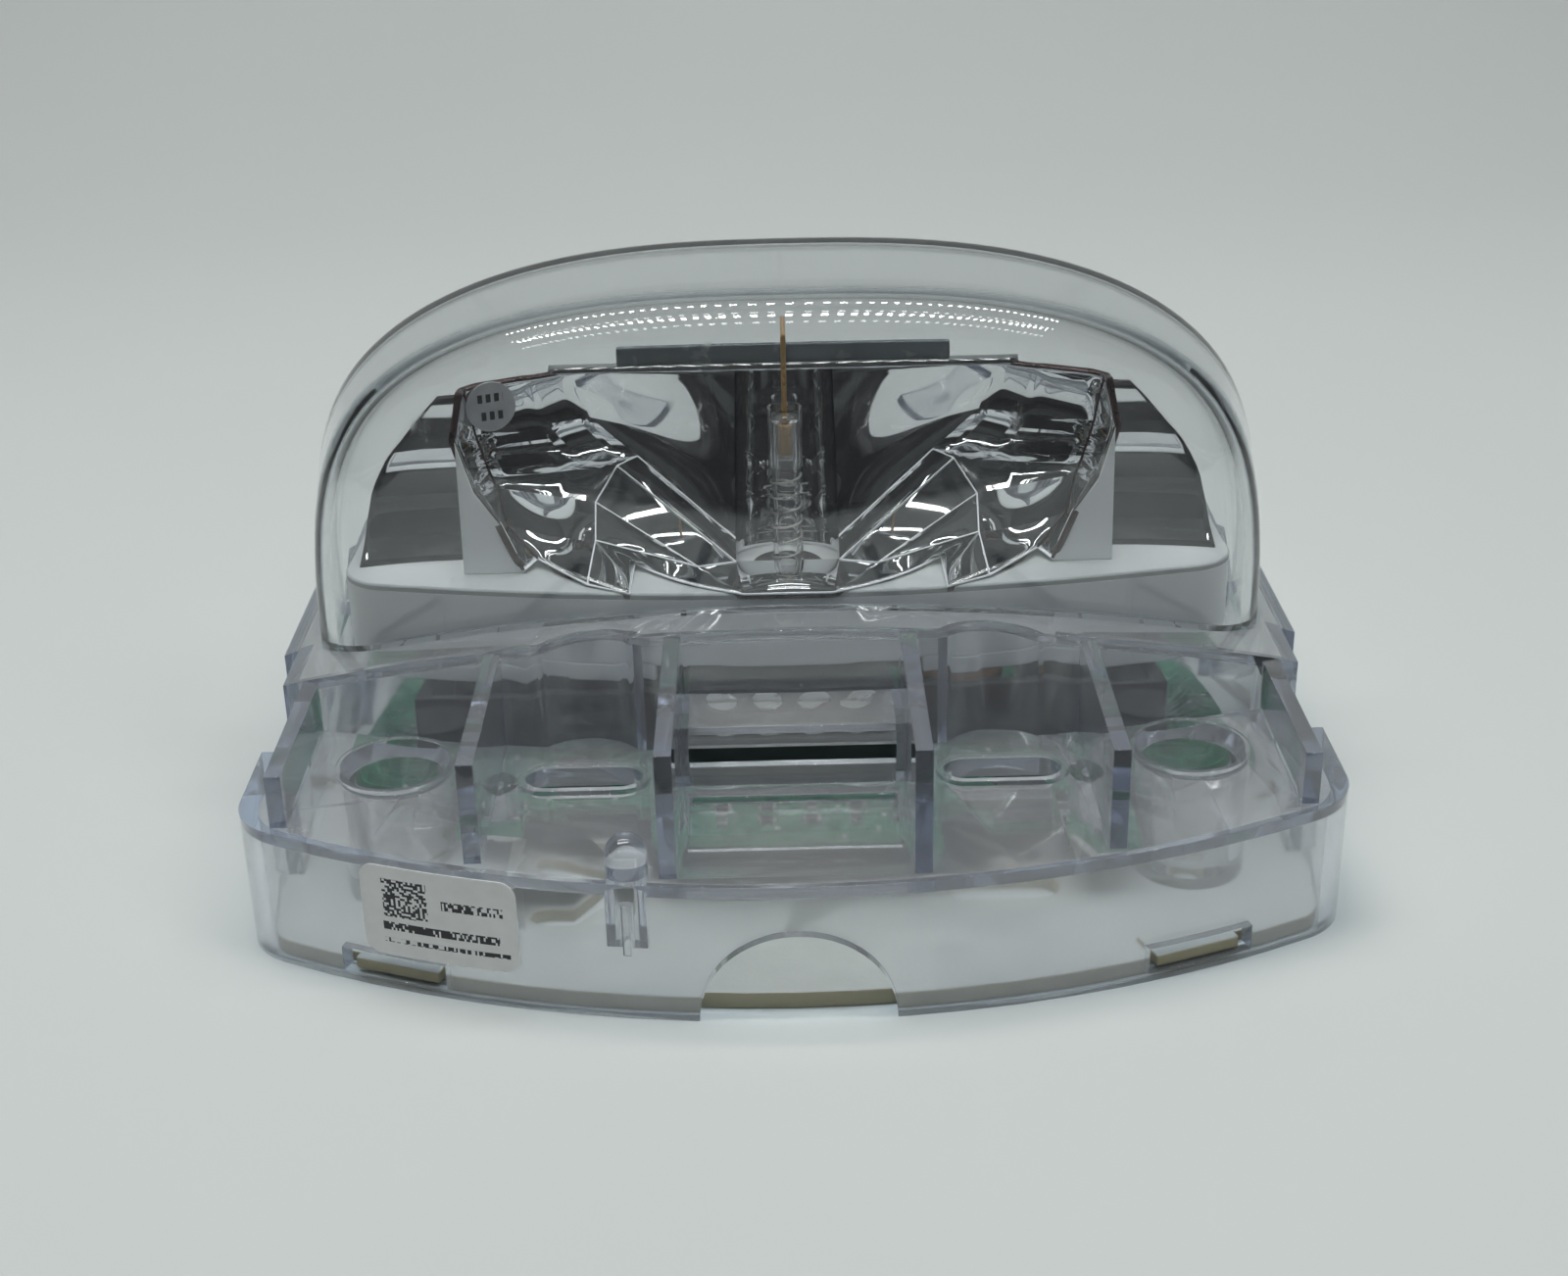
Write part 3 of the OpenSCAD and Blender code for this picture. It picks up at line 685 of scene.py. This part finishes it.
def make_brow():
    """Low bar of dark clear plastic along the top of the optic, and its polished front edge."""
    bm = bmesh.new()
    outline = [(-19.2, -10.4), (19.2, -10.4), (19.2, -9.4), (-19.2, -9.4)]
    extruded(bm, outline, 53.5, 56.0)
    obj = piece("reflector_brow", bm, brow_grey, replaces=("reflector",))
    bevel(obj, 0.2)
    smooth(obj)
    bm = bmesh.new()
    rows = []
    for offset_y, z in ((-0.5, 53.15), (0.55, 53.95)):
        run = []
        for i in range(49):
            x = -27.0 + 54.0 * i / 48
            run.append(bm.verts.new((x, -11.6 + 0.9 * (x / 27.0) ** 2 + offset_y, z)))
        rows.append(run)
    for i in range(48):
        bm.faces.new([rows[0][i], rows[0][i + 1], rows[1][i + 1], rows[1][i]])
    obj = piece("reflector_top_edge", bm, mirror, replaces=("reflector",))
    thin_sheet(obj, 0.3, 0)
    smooth(obj)


def optic_half(bm):
    """Facets of the right half, joined edge to edge."""
    channel_low = path([CHANNEL_FOOT, CHANNEL_LOW], [6])
    channel_high = path([CHANNEL_LOW, CHANNEL_TOP], [24])
    panel_side = path([PANEL_LOW, PANEL_MID, PANEL_TOP], [12, 12])
    foot_peak = path([CHANNEL_FOOT, PEAK], [16])
    low_panel = path([CHANNEL_LOW, PANEL_LOW], [16])
    peak_low = path([PEAK, PANEL_LOW], [6])
    peak_knee = path([PEAK, KNEE], [8])
    apex_knee = path([APEX, KNEE], [16])
    foot_apex = path([CHANNEL_FOOT, APEX], [8])
    heel_knee = path([HEEL, KNEE], [6])
    apex_heel = path([APEX, HEEL], [16])
    toe_heel = path([TOE, HEEL], [6])
    notch_heel = path([LIP_NOTCH, HEEL], [6])
    inner = path(BLADE_IN, [6, 6, 14, 12, 12])
    at_bowl, at_low, at_mid = 12, 26, 38
    knee_bowl = path([KNEE, inner[at_bowl]], [24])
    low_wall = path([PANEL_LOW, inner[at_low]], [24])
    mid_wall = path([PANEL_MID, inner[at_mid]], [24])
    outer = path(BLADE_OUT, [13, 10, 13, 14])
    patch(bm, low_panel, panel_side, path([CHANNEL_TOP, PANEL_TOP], [16]), channel_high, panel_bulge)
    patch(bm, foot_peak, peak_low, low_panel, channel_low, lambda u, v: 0.5 * pan(u, v, 0.7))
    patch(bm, foot_peak, peak_knee, apex_knee, foot_apex)
    patch(bm, apex_heel, heel_knee, apex_knee, [APEX] * 7, lambda u, v: 0.3 * pan(u, v, 0.7))
    patch(bm, mid_wall, inner[at_mid:], path([PANEL_TOP, WALL_TOP], [24]), panel_side[12:],
          lambda u, v: joggled(u, v, 0.5, 0.8))
    patch(bm, low_wall, inner[at_low:at_mid + 1], mid_wall, panel_side[:13],
          lambda u, v: joggled(u, v, 1.7, 1.0))
    knee_side = heel_knee[6:] + peak_knee[::-1][1:] + peak_low[1:]
    patch(bm, knee_bowl, inner[at_bowl:at_low + 1], low_wall, knee_side,
          lambda u, v: joggled(u, v, 0.7, 1.0))
    patch(bm, path([TOE, inner[0]], [24]), inner[:at_bowl + 1], knee_bowl, toe_heel + heel_knee[1:],
          lambda u, v: 2.2 * pan(u, v, 1.0))
    patch(bm, path([LIP_STEP, TOE], [6]), toe_heel, notch_heel, path([LIP_STEP, LIP_NOTCH], [6]))
    patch(bm, lip_curve(), notch_heel, apex_heel, path([LIP_MID, APEX], [6]),
          lambda u, v: 0.6 * pan(u, v, 0.7))
    patch(bm, path([LIP_MID, APEX], [6]), [APEX] + foot_apex[::-1][1:], [CHANNEL_FOOT] * 7,
          path([LIP_MID, CHANNEL_FOOT], [8]))
    patch(bm, path([inner[0], LIP_END], [3]), outer, path([WALL_TOP, BLADE_OUT[-1]], [3]), inner,
          lambda u, v: 0.4 * pan(u, v, 0.6))


def channel(bm):
    """Half round channel behind the tube, crossed by shallow ribs."""
    around = 20
    rows = []
    for j, edge in enumerate(path([CHANNEL_FOOT, CHANNEL_LOW, CHANNEL_TOP], [6, 24])):
        ribs = 0.06 * math.sin(j * 1.05)
        row = []
        for i in range(around + 1):
            a = math.pi * i / around
            depth = 5.2 * math.sin(a) ** 0.7 if 0 < i < around else 0.0
            row.append(bm.verts.new((edge.x * math.cos(a), edge.y + depth + ribs * math.sin(a), edge.z)))
        rows.append(row)
    for lower, upper in zip(rows, rows[1:]):
        for i in range(around):
            bm.faces.new([lower[i], lower[i + 1], upper[i + 1], upper[i]])


def thin_sheet(obj, thickness, rim_slot=1):
    modifier = obj.modifiers.new("sheet", "SOLIDIFY")
    modifier.thickness = thickness * MM
    modifier.offset = 1.0
    modifier.material_offset_rim = rim_slot
    modifier.use_even_offset = False


def make_optic():
    bm = bmesh.new()
    optic_half(bm)
    bmesh.ops.remove_doubles(bm, verts=bm.verts, dist=0.01)
    bmesh.ops.dissolve_degenerate(bm, dist=0.005, edges=bm.edges)
    other = bmesh.ops.duplicate(bm, geom=bm.verts[:] + bm.edges[:] + bm.faces[:])["geom"]
    mirrored = [g for g in other if isinstance(g, bmesh.types.BMVert)]
    bmesh.ops.scale(bm, vec=(-1, 1, 1), verts=mirrored)
    channel(bm)
    middle = [(6.0, -17.5, 32.05), (5.0, -27.0, 32.05), (-5.0, -27.0, 32.05), (-6.0, -17.5, 32.05)]
    bm.faces.new([bm.verts.new(p) for p in middle])
    bmesh.ops.remove_doubles(bm, verts=bm.verts, dist=0.02)
    bmesh.ops.recalc_face_normals(bm, faces=bm.faces)
    if sum(face.normal.y for face in bm.faces) > 0:
        bmesh.ops.reverse_faces(bm, faces=bm.faces)
    obj = piece("reflector_optic", bm, (mirror, mirror_rim), replaces=("reflector",))
    thin_sheet(obj, -0.7)
    smooth(obj, 14.0)


def extruded(bm, outline, z0, z1):
    lower = [bm.verts.new((x, y, z0)) for x, y in outline]
    upper = [bm.verts.new((x, y, z1)) for x, y in outline]
    bm.faces.new(lower[::-1])
    bm.faces.new(upper)
    count = len(outline)
    for i in range(count):
        j = (i + 1) % count
        bm.faces.new([lower[i], lower[j], upper[j], upper[i]])


def plate_outline(inset):
    """Outline of the plate: a bowed front edge, round front corners and a straight rear edge."""
    half, rear, corner = 51.5 - inset, -6.0, 6.0
    edge = -26.6 + inset
    turn = [math.radians(9 * i) for i in range(9)]
    side_y = edge + (half - corner) ** 2 / 420 + corner
    left = [(-half + corner * (1 - math.cos(a)), side_y - corner * math.sin(a)) for a in turn]
    front = [(x, edge + x * x / 420) for x in ((half - corner) * (i / 12 - 1) for i in range(1, 24))]
    right = [(-x, y) for x, y in reversed(left)]
    return left + front + right + [(half, rear), (-half, rear)]


def make_reflector_plate():
    """Flat unplated plate under the optic."""
    bm = bmesh.new()
    extruded(bm, plate_outline(0.0), PLATE_LOW, PLATE_TOP)
    obj = piece("reflector_plate", bm, unplated, replaces=("reflector",))
    bevel(obj, 0.25)
    smooth(obj)


def make_reflector_hem():
    """Skirt under the plate's rim, which hides the electronics from the front."""
    bm = bmesh.new()
    outlines = [plate_outline(0.0), plate_outline(HEM_THICKNESS)]
    rings = [[outline[-1]] + outline[:-1] for outline in outlines]
    extruded(bm, rings[0] + rings[1][::-1], HEM_STEP, HEM_TOP)
    for sign in (-1, 1):
        sides = [[(x, y) for x, y in ring if sign * x > HEM_GAP] for ring in rings]
        extruded(bm, sides[0] + sides[1][::-1], HEM_LOW, HEM_STEP)
    obj = piece("reflector_hem", bm, shade_grey, replaces=("reflector",))
    bevel(obj, 0.15)
    smooth(obj)


def make_flanges():
    """Upright flanges beside the blades, and the ribbed wings outside them."""
    for sign in (-1, 1):
        bm = bmesh.new()
        outline = [(p.x, p.z) for p in BLADE_OUT[3::-1]] + [(LIP_END.x, PLATE_TOP), (FLANGE_X, PLATE_TOP)]
        front = [bm.verts.new((sign * x, -19.2, z)) for x, z in outline]
        back = [bm.verts.new((sign * x, -18.5, z)) for x, z in outline]
        bm.faces.new(front)
        bm.faces.new(back[::-1])
        for i in range(len(outline)):
            j = (i + 1) % len(outline)
            bm.faces.new([front[i], back[i], back[j], front[j]])
        bmesh.ops.recalc_face_normals(bm, faces=bm.faces)
        obj = piece(f"reflector_flange_{'left' if sign < 0 else 'right'}", bm, shade_grey,
                    replaces=("reflector",))
        bevel(obj, 0.12)
        smooth(obj)
        make_wing(sign)


def wing_section():
    """(Y, Z) points down a wing: a flat top, three hollows between ridges and a sloping foot."""
    ridges = [(-8.0, 50.0), (-8.4, 43.6), (-11.0, 36.4), (-15.0, 31.9)]
    hollow = [0.2, 1.6, 0.6]
    points = []
    for (a, b), depth in zip(zip(ridges, ridges[1:]), hollow):
        for i in range(6):
            t = i / 6
            y = a[0] + (b[0] - a[0]) * t + depth * math.sin(math.pi * t)
            points.append((y, a[1] + (b[1] - a[1]) * t))
    points.append(ridges[-1])
    return points


def make_wing(sign):
    bm = bmesh.new()
    section = wing_section()
    inner, outer = 36.8, 49.0
    columns = 16
    rows = []
    for y, z in section:
        reach = outer - 0.42 * max(0.0, z - 39.0) ** 1.25 if z > 39 else outer + 0.9 * (39.0 - z) / 7
        row = []
        for i in range(columns + 1):
            x = inner + (reach - inner) * i / columns
            row.append(bm.verts.new((sign * x, y - 0.010 * (x - inner) ** 2, z)))
        rows.append(row)
    for lower, upper in zip(rows, rows[1:]):
        for i in range(columns):
            bm.faces.new([lower[i], lower[i + 1], upper[i + 1], upper[i]])
    bmesh.ops.recalc_face_normals(bm, faces=bm.faces)
    if sum(face.normal.y for face in bm.faces) > 0:
        bmesh.ops.reverse_faces(bm, faces=bm.faces)
    obj = piece(f"reflector_wing_{'left' if sign < 0 else 'right'}", bm, (mirror, mirror_rim),
                replaces=("reflector",))
    thin_sheet(obj, -0.7)
    smooth(obj, 22.0)


# ---- tube ----


def make_trigger_wire():
    """Fine wire wound round the glass in an open helix."""
    lo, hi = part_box("flash_tube")
    centre = (lo + hi) / 2
    radius = (hi.x - lo.x) / 2 + 0.00015
    turns, start, end = 6, lo.z + 0.004, hi.z - 0.007
    count = turns * 20
    run = []
    for i in range(count + 1):
        a = 2 * math.pi * turns * i / count
        z = start + (end - start) * i / count
        run.append((centre.x + radius * math.cos(a), centre.y + radius * math.sin(a), z))
    wire("trigger_wire_helix", [run], 0.00014, steel, "trigger_wire")


# ---- small board parts ----


def make_surface_mounts():
    """Resistors and capacitors on the board, where the deck's slots and window show it."""
    generator = random.Random(7)
    top = high("circuit_board").z
    spots = [(x, y) for x in (-36, -31, -13, -8, -3, 2, 7, 12, 30, 35) for y in (-41.5, -38.5)]
    spots += [(x, y) for x in (-20, -12, 12, 20) for y in (30, 36)]
    body, ends = bmesh.new(), bmesh.new()
    for x, y in spots:
        angle = generator.choice((0.0, math.pi / 2))
        spot = Matrix.Translation((x, y, top + 0.3)) @ Matrix.Rotation(angle, 4, "Z")
        bmesh.ops.create_cube(body, size=1.0, matrix=spot @ Matrix.Diagonal((1.3, 1.1, 0.6, 1)))
        for side in (-1, 1):
            cap = spot @ Matrix.Translation((side * 0.85, 0, 0)) @ Matrix.Diagonal((0.42, 1.16, 0.64, 1))
            bmesh.ops.create_cube(ends, size=1.0, matrix=cap)
    for name, bm, finish in (("smd_bodies", body, FINISHES["chip_set"]), ("smd_ends", ends, steel)):
        obj = piece(name, bm, finish)
        bevel(obj, 0.08)
        smooth(obj)


# ---- CAD nodes that stay ----

EDGE = {"back_plate": 0.25, "inner_frame": 0.25, "terminal_block": 0.2, "pin_header": 0.15,
        "power_transistor": 0.2, "chip_set": 0.12, "tube_socket": 0.3, "flash_capacitor": 0.4,
        "horn_housing": 0.3, "horn_ring": 0.2, "horn_magnet": 0.25, "volume_switch": 0.15,
        "tone_switch": 0.15, "volume_knob": 0.2, "tone_knob": 0.2, "board_screws": 0.15,
        "trigger_transformer": 0.25, "inductor": 0.2}


def dress_nodes():
    """Materials for the CAD nodes, and rounded edges where they have sharp ones."""
    for name, finish in FINISHES.items():
        obj = nodes[name]
        paint(obj, finish)
        width = EDGE.get(name, 0.08 if name.startswith("terminal_") else 0.0)
        if width:
            weld = obj.modifiers.new("weld", "WELD")
            weld.merge_threshold = 0.002 * MM
            flat = obj.modifiers.new("flat", "DECIMATE")
            flat.decimate_type = "DISSOLVE"
            flat.angle_limit = math.radians(1.2)
            bevel(obj, width)


# ---- room, light and camera ----


def prop(name, bm, finish):
    """Turns a bmesh in metres into a part of the stage."""
    mesh = bpy.data.meshes.new(name)
    bm.to_mesh(mesh)
    bm.free()
    obj = bpy.data.objects.new(name, mesh)
    bpy.context.scene.collection.objects.link(obj)
    paint(obj, finish)
    return obj


def ribbon(bm, profile, half):
    """Faces between neighbouring (Y, Z) points of a profile, as wide as twice half."""
    rows = [[bm.verts.new((x, y, z)) for x in (-half, half)] for y, z in profile]
    for a, b in zip(rows, rows[1:]):
        bm.faces.new([a[0], a[1], b[1], b[0]])


def make_room():
    """Pale sweep: a floor that curves up into a backdrop."""
    bm = bmesh.new()
    half, front, back, height, radius = 1.6, -1.2, 0.62, 1.6, 0.35
    profile = [(front, 0.0), (back - radius, 0.0)]
    for i in range(1, 13):
        a = math.pi / 2 * i / 12
        profile.append((back - radius + radius * math.sin(a), radius * (1 - math.cos(a))))
    profile.append((back, height))
    ribbon(bm, profile, half)
    f = Finish("sweep_paper")
    f.base(f.ramp(f.noise(3.0), [(0.3, (0.62, 0.66, 0.66)), (0.7, (0.65, 0.69, 0.69))]))
    f.set(Roughness=0.75, Specular_IOR_Level=0.2)
    smooth(prop("sweep", bm, f))


def make_card():
    """Dark card, flat near the object and upright beyond, which the mirrors show as black."""
    bm = bmesh.new()
    ribbon(bm, [(-0.2, 0.002), (-0.62, 0.002), (-0.62, 0.9)], 0.9)
    prop("dark_card", bm, solid("card_black", (0.02, 0.02, 0.022), (0.6, 0.8)))


def area_light(name, place, aim, size, power, colour=(1, 1, 1)):
    light = bpy.data.lights.new(name, "AREA")
    light.shape = "RECTANGLE"
    light.size, light.size_y = size
    light.energy = power
    light.color = colour
    obj = bpy.data.objects.new(name, light)
    obj.location = place
    obj.rotation_euler = (Vector(aim) - Vector(place)).to_track_quat("-Z", "Y").to_euler()
    bpy.context.scene.collection.objects.link(obj)
    return obj


def led_strip(name, centre, count, pitch, size, strength):
    """Row of small lamps along X, which the clear lens and the mirror show as dashes."""
    bm = bmesh.new()
    for i in range(count):
        x = centre[0] + (i - (count - 1) / 2) * pitch
        half_x, half_y = size[0] / 2, size[1] / 2
        corners = [(-half_x, -half_y), (-half_x, half_y), (half_x, half_y), (half_x, -half_y)]
        bm.faces.new([bm.verts.new((x + a, centre[1] + b, centre[2])) for a, b in corners])
    f = Finish(name)
    glow = f.add("ShaderNodeEmission")
    glow.inputs["Strength"].default_value = strength
    glow.inputs["Color"].default_value = (1.0, 1.0, 0.97, 1)
    f.link(glow.outputs["Emission"], f.output.inputs["Surface"])
    prop(name, bm, f)


def make_light():
    world = bpy.data.worlds.new("room")
    bpy.context.scene.world = world
    world.use_nodes = True
    background = world.node_tree.nodes["Background"]
    background.inputs["Color"].default_value = (0.55, 0.60, 0.62, 1)
    background.inputs["Strength"].default_value = 0.05
    key = area_light("key", (-0.2, 0.02, 1.0), (0, 0.0, 0), (0.5, 0.32), 2.75, (1.0, 1.0, 0.98))
    fill = area_light("fill", (0.7, -0.5, 0.9), (0, 0, 0.0), (0.4, 0.3), 1.65, (0.97, 1.0, 1.0))
    for light in (key, fill):
        light.visible_glossy = False
        light.visible_transmission = False
    led_strip("strip_near", (0.0, -0.10, 0.62), 56, 0.014, (0.0058, 0.032), 52.0)
    led_strip("strip_far", (0.0, 0.10, 0.62), 56, 0.014, (0.0058, 0.022), 42.0)


def make_camera():
    """Looks down at the lower side of the housing, rolled a little clockwise."""
    pitch, roll = math.radians(25.0), math.radians(1.35)
    sight = Vector((0, math.cos(pitch), -math.sin(pitch)))
    side = Vector((1, 0, 0))
    over = side.cross(sight)
    right = math.cos(roll) * side - math.sin(roll) * over
    up = math.sin(roll) * side + math.cos(roll) * over
    data = bpy.data.cameras.new("camera")
    data.sensor_width = 36.0
    data.lens = 50.78
    data.clip_start = 0.01
    obj = bpy.data.objects.new("camera", data)
    turn = Matrix((right, up, -sight)).transposed().to_4x4()
    obj.matrix_world = Matrix.Translation((-0.00065, -0.256, 0.1329)) @ turn
    bpy.context.scene.collection.objects.link(obj)
    bpy.context.scene.camera = obj


def set_scene():
    scene = bpy.context.scene
    scene.view_settings.view_transform = "Standard"
    scene.cycles.max_bounces = 24
    scene.cycles.transmission_bounces = 24
    scene.cycles.glossy_bounces = 8
    scene.cycles.transparent_max_bounces = 32


make_camera()
make_room()
make_card()
make_light()
make_chassis()
make_dome()
make_optic()
make_optic_edges()
make_brow()
make_reflector_plate()
make_reflector_hem()
make_flanges()
make_trigger_wire()
make_surface_mounts()
dress_nodes()
set_scene()
